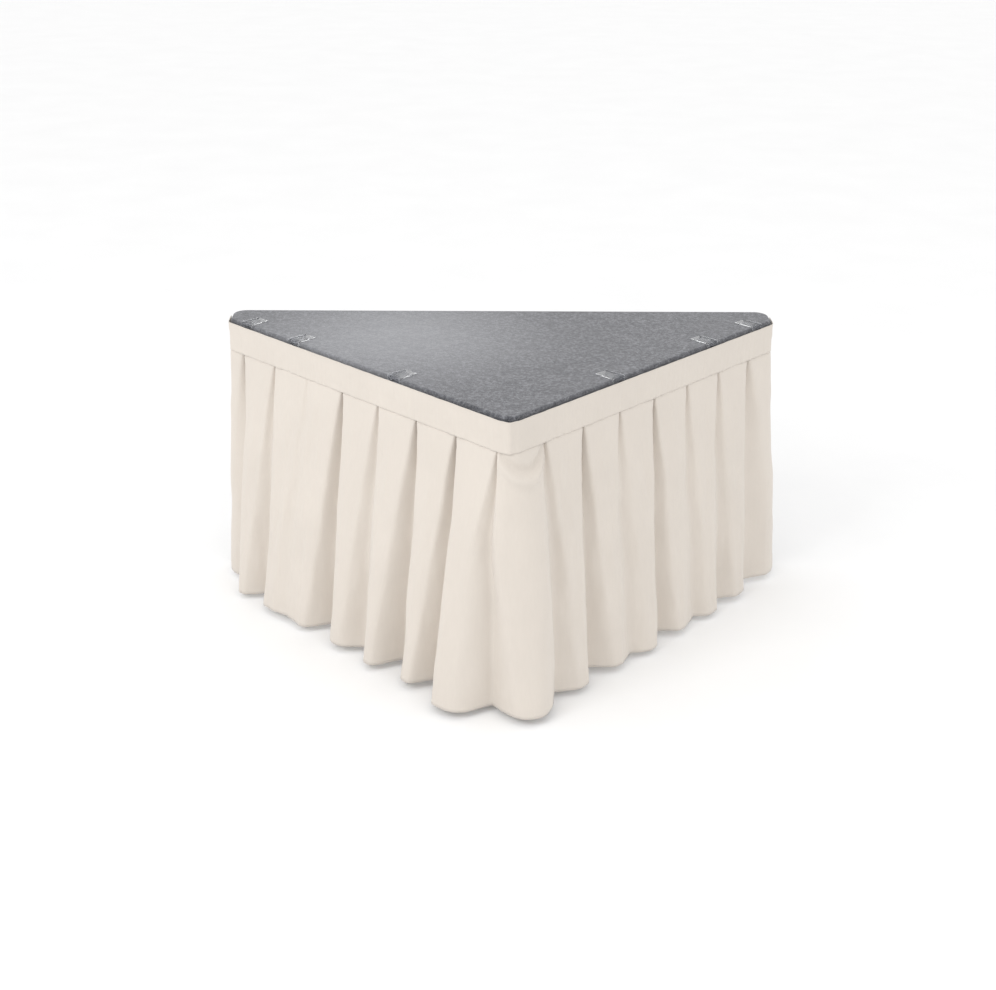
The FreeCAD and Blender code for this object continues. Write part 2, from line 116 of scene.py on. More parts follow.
def apply_modifiers(piece):
    """Keep the mesh as its modifiers leave it."""
    graph = bpy.context.evaluated_depsgraph_get()
    mesh = bpy.data.meshes.new_from_object(piece.evaluated_get(graph))
    old = piece.data
    piece.modifiers.clear()
    piece.data = mesh
    bpy.data.meshes.remove(old)


def thicken(piece, thickness):
    """Give a surface its thickness, half of it to each side."""
    solid = piece.modifiers.new("thickness", "SOLIDIFY")
    solid.thickness = thickness
    solid.offset = 0.0
    apply_modifiers(piece)


def smooth_noise(u, v, seed, cells_u, cells_v):
    """Smooth random values from -1 to 1 over a unit square, repeatable for a seed."""
    table = np.random.default_rng(seed).uniform(-1, 1, (cells_v + 2, cells_u + 2))
    x, y = np.clip(u, 0, 1) * cells_u, np.clip(v, 0, 1) * cells_v
    i, j = np.floor(x).astype(int), np.floor(y).astype(int)
    fx, fy = x - i, y - j
    fx, fy = fx * fx * (3 - 2 * fx), fy * fy * (3 - 2 * fy)
    top = table[j, i] * (1 - fx) + table[j, i + 1] * fx
    low = table[j + 1, i] * (1 - fx) + table[j + 1, i + 1] * fx
    return top * (1 - fy) + low * fy


# --- materials ----------------------------------------------------------------------------
class Finish:
    """A procedural material under construction."""

    def __init__(self, name):
        self.material = bpy.data.materials.new(name)
        self.material.use_nodes = True
        self.tree = self.material.node_tree
        self.shader = self.tree.nodes["Principled BSDF"]
        self.place = self.add("ShaderNodeTexCoord").outputs["Object"]
        self.normal = None

    def add(self, kind, **settings):
        node = self.tree.nodes.new(kind)
        for key, value in settings.items():
            setattr(node, key, value)
        return node

    def link(self, source, target):
        self.tree.links.new(source, target)

    def set(self, **values):
        """Set the shader's own sockets, named with underscores for spaces."""
        for key, value in values.items():
            self.shader.inputs[key.replace("_", " ")].default_value = value

    def stretched(self, scale):
        mapping = self.add("ShaderNodeMapping")
        mapping.inputs["Scale"].default_value = scale
        self.link(self.place, mapping.inputs["Vector"])
        return mapping.outputs["Vector"]

    def noise(self, scale, detail=4.0, roughness=0.55, stretch=None, distortion=0.0):
        noise = self.add("ShaderNodeTexNoise")
        noise.inputs["Scale"].default_value = scale
        noise.inputs["Detail"].default_value = detail
        noise.inputs["Roughness"].default_value = roughness
        noise.inputs["Distortion"].default_value = distortion
        self.link(self.stretched(stretch) if stretch else self.place, noise.inputs["Vector"])
        return noise.outputs["Fac"]

    def cells(self, scale):
        cells = self.add("ShaderNodeTexVoronoi", feature="F1")
        cells.inputs["Scale"].default_value = scale
        self.link(self.place, cells.inputs["Vector"])
        return cells.outputs["Distance"]

    def wave(self, scale, direction, distortion=0.0, source=None):
        wave = self.add("ShaderNodeTexWave", bands_direction=direction, wave_profile="SIN")
        wave.inputs["Scale"].default_value = scale
        wave.inputs["Distortion"].default_value = distortion
        self.link(source or self.place, wave.inputs["Vector"])
        return wave.outputs["Fac"]

    def near(self, place, reach):
        """1 at a place on the object, falling to 0 at a distance from it."""
        away = self.add("ShaderNodeVectorMath", operation="DISTANCE")
        away.inputs[1].default_value = place
        self.link(self.place, away.inputs[0])
        fade = self.add("ShaderNodeMapRange", interpolation_type="SMOOTHSTEP")
        fade.inputs["From Max"].default_value = reach
        fade.inputs["To Min"].default_value = 1
        fade.inputs["To Max"].default_value = 0
        self.link(away.outputs["Value"], fade.inputs["Value"])
        return fade.outputs["Result"]

    def ramp(self, value, stops):
        ramp = self.add("ShaderNodeValToRGB")
        elements = ramp.color_ramp.elements
        for i, (position, colour) in enumerate(stops):
            element = elements[i] if i < 2 else elements.new(position)
            element.position = position
            element.color = (*colour, 1)
        self.link(value, ramp.inputs["Fac"])
        return ramp.outputs["Color"]

    def mix(self, factor, first, second, blend="MIX"):
        mix = self.add("ShaderNodeMix", data_type="RGBA", blend_type=blend)
        for socket, value in (("Factor", factor), ("A", first), ("B", second)):
            target = [s for s in mix.inputs if s.name == socket and s.enabled][0]
            if hasattr(value, "is_output"):
                self.link(value, target)
            else:
                target.default_value = (*value, 1) if isinstance(value, tuple) else value
        return [s for s in mix.outputs if s.enabled][0]

    def scaled(self, value, low, high):
        scale = self.add("ShaderNodeMapRange")
        scale.inputs["To Min"].default_value = low
        scale.inputs["To Max"].default_value = high
        self.link(value, scale.inputs["Value"])
        return scale.outputs["Result"]

    def bump(self, height, strength, distance):
        bump = self.add("ShaderNodeBump")
        bump.inputs["Strength"].default_value = strength
        bump.inputs["Distance"].default_value = distance
        self.link(height, bump.inputs["Height"])
        if self.normal:
            self.link(self.normal, bump.inputs["Normal"])
        self.normal = bump.outputs["Normal"]
        self.link(self.normal, self.shader.inputs["Normal"])

    def colour(self, source):
        self.link(source, self.shader.inputs["Base Color"])

    def rough(self, source):
        self.link(source, self.shader.inputs["Roughness"])


def skirt_cloth(name, base):
    """Matt ivory polyester with a fine plain weave and slight slubs."""
    cloth = Finish(name)
    uv = cloth.add("ShaderNodeTexCoord").outputs["UV"]
    darker = tuple(c * 0.93 for c in base)
    paler = tuple(min(c * 1.03, 1) for c in base)
    soft = cloth.noise(9, detail=3)
    slubs = cloth.noise(260, detail=2, stretch=(1, 1, 0.12))
    tone = cloth.mix(soft, darker, paler)
    cloth.colour(cloth.mix(cloth.scaled(slubs, 0, 0.35), tone, tuple(c * 0.86 for c in base)))
    warp = cloth.wave(430, "X", source=uv)
    weft = cloth.wave(430, "Y", source=uv)
    cloth.bump(cloth.mix(0.5, warp, weft), 0.25, 0.0002)
    cloth.bump(slubs, 0.15, 0.0003)
    cloth.rough(cloth.scaled(soft, 0.82, 0.95))
    cloth.set(Sheen_Weight=0.25, Sheen_Roughness=0.5, Specular_IOR_Level=0.25)
    return cloth.material


def carpet_pile():
    """Needle-punched grey carpet, its dark and light fibres mixed, with one paler patch of painted sheen.
    """
    pile = Finish("carpet_pile")
    fibres = pile.noise(430, detail=5, roughness=0.7)
    clumps = pile.noise(150, detail=3, roughness=0.6)
    patches = pile.noise(42, detail=4, roughness=0.65)
    shade = pile.noise(5, detail=2)
    speckle = pile.ramp(fibres, ((0.38, (0.036, 0.037, 0.044)), (0.5, (0.108, 0.11, 0.122)),
                                 (0.62, (0.33, 0.334, 0.353))))
    heather = pile.ramp(clumps, ((0.38, (0.044, 0.045, 0.053)), (0.5, (0.112, 0.114, 0.126)),
                                 (0.62, (0.30, 0.304, 0.322))))
    blended = pile.mix(0.5, speckle, heather)
    mottled = pile.mix(pile.scaled(patches, 0.0, 1.0), blended, (0.135, 0.137, 0.151), blend="SOFT_LIGHT")
    # painted sheen: a paler patch that stands in for light from the back left glancing off the pile, not
    # wear
    painted_sheen_mask = pile.near((*PAINTED_SHEEN_PLACE, CARPET_TOP), PAINTED_SHEEN_REACH)
    paler = pile.mix(0.5, mottled, (0.40, 0.404, 0.426))
    with_painted_sheen = pile.mix(painted_sheen_mask, mottled, paler)
    pile.colour(pile.mix(pile.scaled(shade, 0, 0.3), with_painted_sheen, (0.088, 0.089, 0.1)))
    pile.bump(clumps, 0.45, 0.0012)
    pile.bump(fibres, 0.7, 0.0008)
    pile.set(Roughness=0.98, Sheen_Weight=0.3, Sheen_Roughness=0.6, Specular_IOR_Level=0.12)
    return pile.material


def plywood():
    """Birch ply: long grain on the face, pale and dark plies on the cut edge."""
    ply = Finish("plywood")
    grain = ply.noise(6, detail=8, roughness=0.65, stretch=(1.2, 16, 1), distortion=0.6)
    pores = ply.noise(240, detail=2, stretch=(0.06, 1, 1))
    face = ply.ramp(grain, ((0.3, (0.50, 0.34, 0.19)), (0.55, (0.66, 0.49, 0.30)),
                            (0.8, (0.74, 0.58, 0.38))))
    layers = ply.wave(110, "Z", distortion=0.4)
    edge = ply.ramp(layers, ((0.35, (0.36, 0.22, 0.12)), (0.6, (0.70, 0.54, 0.35))))
    geometry = ply.add("ShaderNodeNewGeometry")
    split = ply.add("ShaderNodeSeparateXYZ")
    ply.link(geometry.outputs["True Normal"], split.inputs["Vector"])
    flat = ply.add("ShaderNodeMath", operation="ABSOLUTE")
    ply.link(split.outputs["Z"], flat.inputs[0])
    wood = ply.mix(flat.outputs["Value"], edge, face)
    ply.colour(ply.mix(ply.scaled(pores, 0, 0.3), wood, (0.30, 0.19, 0.10)))
    ply.bump(pores, 0.2, 0.0003)
    ply.rough(ply.scaled(grain, 0.55, 0.75))
    return ply.material


def powder_coat():
    """Black powder coat on steel, orange-peel texture with rubbed patches."""
    coat = Finish("powder_coat")
    peel = coat.noise(900, detail=2)
    rubbed = coat.noise(14, detail=6, roughness=0.7)
    coat.colour(coat.ramp(rubbed, ((0.35, (0.012, 0.012, 0.013)), (0.62, (0.028, 0.028, 0.030)),
                                   (0.8, (0.060, 0.058, 0.056)))))
    coat.bump(peel, 0.35, 0.0002)
    coat.rough(coat.scaled(rubbed, 0.38, 0.6))
    coat.set(Specular_IOR_Level=0.5)
    return coat.material


def plated_steel(name, tint, stretch):
    """Zinc plate with drawing lines along the metal and a clouded sheen."""
    plate = Finish(name)
    lines = plate.noise(300, detail=3, stretch=stretch)
    cloud = plate.noise(25, detail=4)
    plate.colour(plate.mix(cloud, tint, tuple(c * 0.72 for c in tint)))
    plate.bump(lines, 0.12, 0.0002)
    plate.rough(plate.scaled(cloud, 0.24, 0.46))
    plate.set(Metallic=1.0)
    return plate.material


def moulded(name, colour, low, high):
    """Moulded plastic or rubber with a fine spark-eroded texture."""
    plastic = Finish(name)
    grain = plastic.noise(700, detail=2)
    dust = plastic.noise(30, detail=5)
    plastic.colour(plastic.mix(plastic.scaled(dust, 0, 0.5), colour, tuple(c * 1.9 + 0.01 for c in colour)))
    plastic.bump(grain, 0.3, 0.0003)
    plastic.rough(plastic.scaled(dust, low, high))
    return plastic.material


def clear_plastic(name, clearness, low, high):
    """Clear polycarbonate with fine scuffs; worn edges are less clear and rougher."""
    clear = Finish(name)
    scuffs = clear.noise(160, detail=5, stretch=(1, 0.4, 1))
    clear.colour(clear.ramp(scuffs, ((0.4, (0.97, 0.975, 0.985)), (0.75, (0.93, 0.94, 0.96)))))
    clear.rough(clear.scaled(scuffs, low, high))
    clear.bump(scuffs, 0.05, 0.0001)
    clear.set(Transmission_Weight=clearness, IOR=1.18)
    return clear.material


def napped_tape():
    """White hook-and-loop tape."""
    tape = Finish("napped_tape")
    loops = tape.cells(900)
    tape.colour(tape.ramp(loops, ((0.1, (0.86, 0.85, 0.82)), (0.7, (0.62, 0.61, 0.58)))))
    tape.bump(loops, 0.6, 0.0006)
    tape.set(Roughness=0.95, Sheen_Weight=0.3)
    return tape.material


# --- paths round the deck -----------------------------------------------------------------
def edge_path(along, corner):
    """Points and outward normals round the two short sides of the deck.

    along is measured on the path from the middle of the front corner, positive to the right. The
    path is the carpet's edge, with its front corner rounded to the given radius.
    """
    sign = np.where(along < 0, -1.0, 1.0)
    reach = np.abs(along)
    arc = corner * QUARTER
    straight = END_CURVE - corner
    turn = np.minimum(reach, arc) / corner - math.pi / 2
    run = np.clip(reach - arc, 0, straight)
    end_turn = np.clip((reach - arc - straight) / END_RADIUS, 0, QUARTER)
    end_run = np.maximum(reach - arc - straight - END_RADIUS * QUARTER, 0)
    angle = turn + end_turn
    curved = end_turn > 0
    x = corner * np.cos(turn) + run * HALF
    y = APEX_Y + corner * ROOT2 + corner * np.sin(turn) + run * HALF
    x = x + END_RADIUS * (np.cos(angle) - np.cos(turn)) * curved
    y = y + END_RADIUS * (np.sin(angle) - np.sin(turn)) * curved + end_run
    points = np.stack([sign * x, y], axis=-1)
    normals = np.stack([sign * np.cos(angle), np.sin(angle)], axis=-1)
    return points, normals


def path_end(corner):
    """Length of the path on one side, to where the skirt stops."""
    return corner * QUARTER + END_CURVE - corner + END_RADIUS * QUARTER + END_RUN


# --- skirt --------------------------------------------------------------------------------
PLEAT_PITCH = 0.108         # about 4.25 in, from slit to slit along the band
PLEATS_A_SIDE = 7
CORNER_SLIT = -0.020        # the slit beside the front corner; the others are counted from it
DEEP_SLITS = (-7, -4, -2, -1, 2, 4, 7)
MERGED_SLITS = (-5,)        # its two pleats have fallen together into one wide fold
DEEP, SHALLOW, MERGED = 0.023, 0.011, 0.003    # how far a slit runs in behind the band
VALLEY_FLARE = 0.036        # distance out at the hem between two pleats
SLIT_PULL = 0.006           # a deep slit holds its valley in by this, a shallow one lets it out
LEFT_FLARE = 0.088          # distance out of the pleats at the hem, on each side
RIGHT_FLARE = 0.070
CORNER_FLARE = 0.100        # the two large folds beside the front corner
CORNER_LEAN = 0.030         # the corner fold's ridge leans to the right at the hem
END_FLARES = (0.040, 0.062)    # where the skirt stops, left and right
SLACK = 0.008               # how far a fold strays from its even place at the hem
SPREAD = 0.68               # how fast a slit opens below the band: less is faster


def slit_size(k):
    """Depth of a slit behind the band, and its distance out at the hem."""
    if k in MERGED_SLITS:
        return MERGED, LEFT_FLARE - SLIT_PULL
    if k in DEEP_SLITS:
        return DEEP, VALLEY_FLARE - SLIT_PULL
    return SHALLOW, VALLEY_FLARE + SLIT_PULL


def fold_lines():
    """Valleys and ridges in turn: place at the band, slit depth, place and reach at the hem."""
    loose = np.random.default_rng(7)
    top_end, hem_end = path_end(FRONT_RADIUS), path_end(HEM_CORNER)
    lines = [(-top_end, 0, -hem_end, END_FLARES[0])]
    for k in range(-PLEATS_A_SIDE, PLEATS_A_SIDE + 1):
        slit = CORNER_SLIT + k * PLEAT_PITCH
        depth, valley = slit_size(k)
        stray = SLACK * loose.uniform(-1, 1, 4)
        lines.append((slit, depth, slit + stray[0], valley + stray[1]))
        if k == 0:
            lines.append((0.0, 0, CORNER_LEAN, CORNER_FLARE))
        elif k < PLEATS_A_SIDE:
            ridge = slit + PLEAT_PITCH / 2
            flare = LEFT_FLARE if k < 0 else RIGHT_FLARE
            if k == -1:
                flare = CORNER_FLARE
            lines.append((ridge, 0, ridge + stray[2], flare + 0.5 * stray[3]))
    lines.append((top_end, 0, hem_end, END_FLARES[1]))
    return np.array(lines)


def swag(along, height):
    """The small cowl of slack cloth that hangs under the band at the front corner."""
    middle, half_width, depth = 0.034, 0.052, 0.048
    across = np.clip(np.abs(along - middle) / half_width, 0, 1)
    lip = BAND_BOTTOM - 0.012 - depth * (1 - across ** 2)
    fade = (1 - across ** 2) ** 0.5
    below = (height - lip) / 0.011
    above = (height - lip - 0.019) / 0.011
    return fade * (0.0080 * np.exp(-below ** 2) - 0.0080 * np.exp(-above ** 2))


def half_pleat(first, last, drop, steps):
    """Cloth between a valley and the ridge beside it, in equal lengths of cloth."""
    places = [line[0] * (1 - drop) + line[2] * drop for line in (first, last)]
    outs = [DRAPE_OUT * (1 - drop) - line[1] * (1 - drop) ** 2 + line[3] * drop for line in (first, last)]
    share = np.linspace(0, 1, 81)
    from_valley = share if first[1] > 0 else 1 - share
    near_side = (first[1] > 0) == (first[2] + last[2] > 0)
    full = 0.8 if near_side else 1.0
    mouth = SLIT_MOUTH + (full - SLIT_MOUTH) * drop ** SPREAD
    roundness = 0.10 + 0.3 * drop
    rise = 0.5 - 0.5 * np.cos(math.pi * np.minimum(from_valley / mouth, 1))
    rise = rise * (1 - roundness) + roundness * np.sin(math.pi / 2 * from_valley)
    valley, ridge = outs if first[1] > 0 else outs[::-1]
    along = places[0] + (places[1] - places[0]) * share
    out = valley + (ridge - valley) * rise
    length = np.concatenate([[0], np.cumsum(np.hypot(np.diff(along), np.diff(out)))])
    even = np.linspace(0, length[-1], steps + 1)[:-1]
    return np.interp(even, length, along), np.interp(even, length, out)


def drape_heights(rows):
    """Heights from the cloth's top, behind the band, to the hem, closer together near the top."""
    top = BAND_BOTTOM + TUCK
    return top - np.linspace(0, 1, rows) ** 1.35 * (top - HEM_Z)


def drape_points(rows, steps):
    """The hanging cloth as a grid: rows from the band to the hem, columns across the cloth."""
    lines = fold_lines()
    heights = drape_heights(rows)
    grid = []
    for height in heights:
        drop = max((BAND_BOTTOM - height) / (BAND_BOTTOM - HEM_Z), 0)
        parts = [half_pleat(a, b, drop, steps) for a, b in zip(lines[:-1], lines[1:])]
        last_place = lines[-1:, 0] * (1 - drop) + lines[-1:, 2] * drop
        last_out = DRAPE_OUT * (1 - drop) + lines[-1:, 3] * drop
        along = np.concatenate([part[0] for part in parts] + [last_place])
        out = np.concatenate([part[1] for part in parts] + [last_out])
        across = np.linspace(0, 1, len(along))
        level = np.full(len(along), (heights[0] - height) / (heights[0] - HEM_Z))
        sway = 0.0055 * smooth_noise(across, level, 11, 30, 3)
        along = along + sway * math.sin(math.pi * min(drop, 1) ** 0.8)
        crumple = 0.0022 * smooth_noise(across, level, 12, 75, 7)
        crumple += 0.0008 * smooth_noise(across, level, 13, 190, 15)
        out = out + crumple * min(drop * 5, 1) + 0.0018 * min(drop * 160, 1) * (1 - drop)
        out = out + swag(along, height) + 0.0005 * (height < HEM_Z + HEM_FOLD)
        points, normals = edge_path(along, FRONT_RADIUS + (HEM_CORNER - FRONT_RADIUS) * drop)
        place = points + normals * out[:, None]
        lift = 0.0025 * drop ** 4 * smooth_noise(across, level, 14, 24, 2)
        grid.append(np.column_stack([place, height + lift]))
    return np.array(grid)


def add_cloth_uv(piece, across, down):
    """UVs in metres across and down the cloth, so that its weave has one scale."""
    layer = piece.data.uv_layers.new(name="cloth")
    columns = len(across)
    for polygon in piece.data.polygons:
        for loop, vertex in zip(polygon.loop_indices, polygon.vertices):
            layer.data[loop].uv = (across[vertex % columns], down[vertex // columns])


def make_drape(grid, material):
    """The pleated cloth, from behind the band down to the hem."""
    rows, columns = grid.shape[:2]
    drape = mesh_object("skirt_drape", grid.reshape(-1, 3), grid_faces(rows, columns), material)
    hem = grid[-1, :, :2]
    width = float(np.hypot(*np.diff(hem, axis=0).T).sum())
    heights = drape_heights(rows)
    add_cloth_uv(drape, np.linspace(0, width, columns), heights[0] - heights)
    thicken(drape, DRAPE_THICK)
    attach(drape, "platform")
    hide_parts("skirt_panel_left", "skirt_panel_right")


def header_points(rows, columns):
    """The band as a grid, and its outward normals."""
    end = path_end(FRONT_RADIUS)
    share = np.linspace(0, 1, columns)
    along = (2 * share - 1) * end
    points, normals = edge_path(along, FRONT_RADIUS)
    corner = 0.0042 * np.exp(-(along / 0.006) ** 2)
    crease = np.zeros(columns)
    for place, depth, _, _ in fold_lines():
        if depth > 0:
            crease += (0.4 + depth / 0.045) * np.exp(-((along - place) / 0.0022) ** 2)
            crease += 0.5 * np.exp(-((along - place - 0.05) / 0.002) ** 2)
    grid = []
    for v in np.linspace(0, 1, rows):
        height = BAND_TOP - v * (BAND_TOP - BAND_BOTTOM)
        level = np.full(columns, v)
        seam = 0.0004 * math.exp(-(min(v, 1 - v) / 0.05) ** 2)
        pucker = 0.0005 * smooth_noise(share, level, 5, 90, 5)
        gathers = 0.0006 * (0.4 + 0.6 * v) * smooth_noise(share, 0.3 + 0.2 * level, 6, 230, 2)
        out = BAND_OUT + seam + pucker + gathers + corner - 0.0006 * crease * (0.35 + 0.65 * v)
        grid.append(np.column_stack([points + normals * out[:, None], np.full(columns, height)]))
    return np.array(grid), normals


def make_header(grid, material):
    """The flat band that the pleats are sewn into."""
    rows, columns = grid.shape[:2]
    header = mesh_object("skirt_header", grid.reshape(-1, 3), grid_faces(rows, columns), material)
    width, height = 2 * path_end(FRONT_RADIUS), BAND_TOP - BAND_BOTTOM
    add_cloth_uv(header, np.linspace(0, width, columns), np.linspace(0, height, rows))
    thicken(header, BAND_THICK)
    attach(header, "platform")
    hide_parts("skirt_band_left", "skirt_band_right")


def sew(line, outward, clear, verts, faces):
    """Add a row of stitches along a line of points, raised from the cloth."""
    pitch, length, radius = 0.0038, 0.0027, 0.00028
    steps = np.linalg.norm(np.diff(line, axis=0), axis=1)
    length_to = np.concatenate([[0], np.cumsum(steps)])
    for start in np.arange(0, length_to[-1] - length, pitch):
        ends = [np.array([np.interp(s, length_to, line[:, i]) for i in range(3)])
                for s in (start, start + length)]
        out = np.array([np.interp(start, length_to, outward[:, i]) for i in range(2)] + [0])
        out /= np.linalg.norm(out)
        ahead = (ends[1] - ends[0]) / length
        side = np.cross(out, ahead)
        middle = (ends[0] + ends[1]) / 2 + out * (clear + radius)
        base = len(verts)
        verts += [ends[0] + out * clear * 0.8, ends[1] + out * clear * 0.8]
        verts += [middle + side * radius, middle + out * radius]
        verts += [middle - side * radius, middle - out * radius]
        for i in range(4):
            a, b = base + 2 + i, base + 2 + (i + 1) % 4
            faces += [(base, a, b), (base + 1, b, a)]


def make_stitches(header, normals, drape, material):
    """Two rows of stitches along the band and one along the hem's fold."""
    verts, faces = [], []
    for row in (1, len(header) - 2):
        sew(header[row], normals, BAND_THICK / 2, verts, faces)
    row = int(np.abs(drape[:, 0, 2] - HEM_Z - HEM_FOLD).argmin())
    line = drape[row]
    tangent = np.gradient(line[:, :2], axis=0)
    outward = np.column_stack([tangent[:, 1], -tangent[:, 0]])
    sew(line, outward, DRAPE_THICK / 2, verts, faces)
    stitches = mesh_object("skirt_stitches", verts, faces, material, smooth=False)
    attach(stitches, "platform")


# --- carpet -------------------------------------------------------------------------------
def deck_ring(inset):
    """Points round the deck's outline, moved in by a distance, with its corners rounded."""
    front_y = APEX_Y + ROOT2 * inset
    back_y = BACK_Y - inset
    end = END_REACH - inset
    shoulder = front_y + end
    corners = (((0, front_y), -90, 45, FRONT_RADIUS), ((end, shoulder), -22.5, 22.5, END_RADIUS),
               ((end, back_y), 45, 45, BACK_RADIUS), ((-end, back_y), 135, 45, BACK_RADIUS),
               ((-end, shoulder), 202.5, 22.5, END_RADIUS))
    side_points = (130, 5, 180, 5, 130)    # from each corner to the next
    arcs = []
    for tip, facing, half_turn, radius in corners:
        radius = max(radius - inset, 0.0004)
        facing, half_turn = math.radians(facing), math.radians(half_turn)
        away = radius / math.cos(half_turn)
        centre = np.array(tip) - away * np.array([math.cos(facing), math.sin(facing)])
        angles = np.linspace(facing - half_turn, facing + half_turn, 12)
        arcs.append(centre + radius * np.column_stack([np.cos(angles), np.sin(angles)]))
    ring = []
    for i, arc in enumerate(arcs):
        following = arcs[(i + 1) % len(arcs)]
        share = np.linspace(0, 1, side_points[i] + 2)[1:-1, None]
        ring += [arc, arc[-1] * (1 - share) + following[0] * share]
    return np.concatenate(ring)


def fill_inside(ring, spacing):
    """Evenly scattered points inside a convex ring, and the triangles that join everything."""
    low, high = ring.min(axis=0), ring.max(axis=0)
    edge = np.roll(ring, -1, axis=0) - ring
    inward = np.column_stack([-edge[:, 1], edge[:, 0]])
    inward /= np.linalg.norm(inward, axis=1)[:, None]
    inside = []
    for row, y in enumerate(np.arange(low[1], high[1], spacing * 0.866)):
        for x in np.arange(low[0] + spacing / 2 * (row % 2), high[0], spacing):
            point = np.array([x, y]) + rng.uniform(-0.2, 0.2, 2) * spacing
            if ((point - ring) * inward).sum(axis=1).min() > spacing * 0.6:
                inside.append(point)
    count = len(ring)
    points = [Vector(p) for p in ring] + [Vector(p) for p in inside]
    edges = [(i, (i + 1) % count) for i in range(count)]
    joined = delaunay_2d_cdt(points, edges, [], 1, 1e-6)
    return np.array([tuple(p) for p in joined[0]]), [tuple(f) for f in joined[2]]


def make_carpet(material):
    """Carpet over the deck: a rounded edge, a side, and a strip turned under the panel."""
    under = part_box("deck_panel")[0][2]
    low = CARPET_LOW[2]
    bend, turn = 0.0035, 0.003
    rings = [(bend + 0.0015, CARPET_TOP)]
    for angle in np.linspace(0, math.pi / 2, 7):
        rings.append((bend - bend * math.sin(angle), CARPET_TOP - bend + bend * math.cos(angle)))
    for height in np.linspace(CARPET_TOP - bend, low + turn, 7)[1:]:
        rings.append((0.0, height))
    for angle in np.linspace(0, math.pi / 2, 4)[1:]:
        rings.append((turn - turn * math.cos(angle), low + turn - turn * math.sin(angle)))
    rings += [(0.012, low), (0.022, low), (0.0295, low), (0.030, low + 0.001), (0.030, under - 0.0002)]
    verts = []
    for inset, height in rings:
        ring = deck_ring(inset)
        verts.append(np.column_stack([ring, np.full(len(ring), height)]))
    columns = len(verts[0])
    faces = grid_faces(len(rings), columns, closed=True)
    top, top_faces = fill_inside(deck_ring(rings[0][0]), 0.007)
    waves = smooth_noise((top[:, 0] + 0.6) / 1.2, (top[:, 1] + 0.35) / 0.7, 8, 60, 34)
    heights = CARPET_TOP + 0.0004 * waves + rng.normal(0, 0.00012, len(top))
    heights[:columns] = CARPET_TOP
    base = columns * len(rings)
    faces += [tuple(base + i for i in reversed(face)) for face in top_faces]
    verts = np.concatenate(verts + [np.column_stack([top, heights])])
    carpet = mesh_object("carpet", verts, faces, material)
    weld = carpet.modifiers.new("join", "WELD")
    weld.merge_threshold = 0.00001
    apply_modifiers(carpet)
    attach(carpet, "platform")
    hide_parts("carpet_cover")


# --- clips --------------------------------------------------------------------------------
def make_clips(clear, worn):
    """Clear clips bent from strip, with a raised, worn rim down each side."""
    width, thick, tongue, lower = 0.036, 0.0012, 0.044, 0.030
    top, low = CARPET_TOP + thick / 2 + 0.0006, CARPET_LOW[2] - 0.001
    web = 0.0014
    bend = 0.0014
    profile = [(-tongue, top), (-tongue * 0.66, top), (-tongue * 0.33, top), (web - bend, top),
               (web, top - bend), (web, low + bend), (web - bend, low), (-lower, low)]
    across = np.array([-1.0, -0.97, -0.93, -0.89, -0.4, 0.0, 0.4, 0.89, 0.93, 0.97, 1.0])
    raised = np.array([0.0, 0.0006, 0.0006, 0.0, 0.0, 0.0, 0.0, 0.0, 0.0006, 0.0006, 0.0])
    verts, faces = [], []
    for place in CLIP_PLACES:
        for sign in (-1, 1):
            base = len(verts)
            for k, (out, height) in enumerate(profile):
                narrow = 0.88 if k == 0 else 1.0
                for side, lift in zip(across, raised):
                    along = place * SIDE + side * narrow * width / 2
                    x = (along + out) * HALF * sign
                    y = APEX_Y + (along - out) * HALF
                    verts.append((x, y, height + (lift if height >= top else 0)))
            for face in grid_faces(len(profile), len(across)):
                quad = [base + i for i in face]
                faces.append(tuple(quad if sign > 0 else reversed(quad)))
    clips = mesh_object("clear_clips", verts, faces, clear)
    clips.data.materials.append(worn)
    strips = len(across) - 1
    for polygon in clips.data.polygons:
        strip = polygon.index % strips
        polygon.material_index = 1 if strip in (1, strips - 2) else 0
    thicken(clips, thick)
    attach(clips, "platform")
    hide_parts("skirt_clips")


# --- camera, floor and light --------------------------------------------------------------
def make_camera():
    """Eye height and distance of the photograph, a little left of the middle."""
    place = Vector((-0.077, -2.615, 1.534))
    yaw, pitch, roll = math.radians(1.43), math.radians(24.71), math.radians(0.66)
    ahead = Vector((math.sin(yaw) * math.cos(pitch), math.cos(yaw) * math.cos(pitch), -math.sin(pitch)))
    right = Vector((math.cos(yaw), -math.sin(yaw), 0))
    up = right.cross(ahead)
    tilted_right = right * math.cos(roll) + up * math.sin(roll)
    tilted_up = up * math.cos(roll) - right * math.sin(roll)
    data = bpy.data.cameras.new("camera")
    data.sensor_width = 36
    data.lens = 50.6
    camera = bpy.data.objects.new("camera", data)
    axes = Matrix((tilted_right, tilted_up, -ahead)).transposed().to_4x4()
    camera.matrix_world = Matrix.Translation(place) @ axes
    bpy.context.collection.objects.link(camera)
    bpy.context.scene.camera = camera


def make_floor():
    paper = Finish("pale_floor")
    paper.colour(paper.ramp(paper.noise(3), ((0.3, (0.86, 0.86, 0.86)), (0.7, (0.88, 0.88, 0.88)))))
    paper.set(Roughness=0.9, Specular_IOR_Level=0.1)
    size = 30
    verts = [(-size, -size, 0), (size, -size, 0), (size, size, 0), (-size, size, 0)]
    floor = mesh_object("floor", verts, [(0, 1, 2, 3)], paper.material)


def make_light(name, place, target, size, power):
    data = bpy.data.lights.new(name, "AREA")
    data.shape = "DISK"
    data.size = size
    data.energy = power
    light = bpy.data.objects.new(name, data)
    light.location = place
    light.rotation_euler = (Vector(target) - Vector(place)).to_track_quat("-Z", "Y").to_euler()
    bpy.context.collection.objects.link(light)


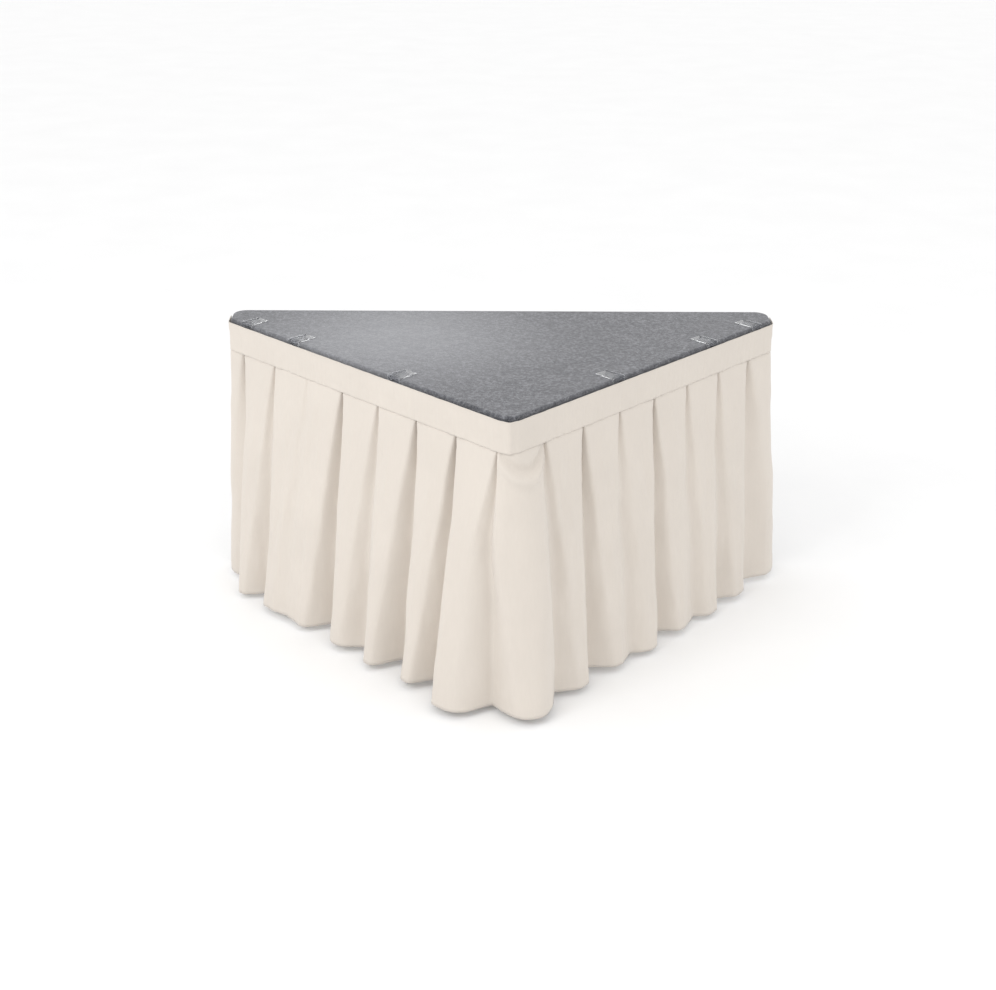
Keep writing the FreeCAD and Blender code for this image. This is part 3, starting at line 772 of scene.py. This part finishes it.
def make_lighting():
    world = bpy.data.worlds.new("studio")
    world.use_nodes = True
    background = world.node_tree.nodes["Background"]
    background.inputs["Color"].default_value = (1, 1, 1, 1)
    background.inputs["Strength"].default_value = 1.12
    bpy.context.scene.world = world
    bpy.context.scene.view_settings.view_transform = "Standard"
    make_light("key", (-1.9, -1.7, 2.3), (0, -0.1, 0.4), 1.4, 24)
    make_light("fill", (2.6, -2.4, 1.6), (0, 0, 0.3), 2.4, 10)


# --- finishes of the frame's own parts ----------------------------------------------------
def dress_frame():
    coat = powder_coat()
    zinc = plated_steel("zinc_plate", (0.62, 0.61, 0.57), (1, 1, 1))
    tube = plated_steel("drawn_tube", (0.60, 0.61, 0.62), (1, 1, 0.05))
    plastic = moulded("black_nylon", (0.018, 0.018, 0.019), 0.42, 0.62)
    rubber = moulded("foot_rubber", (0.028, 0.028, 0.028), 0.75, 0.92)
    wood = plywood()
    tape = napped_tape()
    finishes = {"rail_left": coat, "rail_right": coat, "rail_back": coat, "cross_joist": coat,
                "centre_joist": coat, "deck_panel": wood, "deck_screws": zinc, "plate_screws": zinc,
                "socket_nuts": zinc, "clip_pads": tape, "skirt_tape_left": tape, "skirt_tape_right": tape}
    for corner in CORNERS:
        for node in ("corner_plate", "leg_socket", "leg_tube"):
            finishes[f"{node}_{corner}"] = coat
        for node in ("clamp_knob", "lock_knob", "leg_cap", "leg_collar", "foot_insert"):
            finishes[f"{node}_{corner}"] = plastic
        for node in ("clamp_stud", "lock_stud", "jam_nut", "foot_stem"):
            finishes[f"{node}_{corner}"] = zinc
        finishes[f"inner_tube_{corner}"] = tube
        finishes[f"foot_pad_{corner}"] = rubber
    for node, material in finishes.items():
        for material_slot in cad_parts[node].material_slots:
            material_slot.material = material


make_camera()
make_floor()
make_lighting()
dress_frame()
ivory = (0.655, 0.60, 0.54)
band, band_normals = header_points(26, 900)
folds = drape_points(96, 20)
make_header(band, skirt_cloth("header_cloth", ivory))
make_drape(folds, skirt_cloth("drape_cloth", ivory))
make_stitches(band, band_normals, folds, skirt_cloth("sewing_thread", (0.70, 0.65, 0.585)))
make_carpet(carpet_pile())
make_clips(clear_plastic("clear_plastic", 1.0, 0.0, 0.05),
           clear_plastic("worn_plastic", 0.75, 0.1, 0.3))
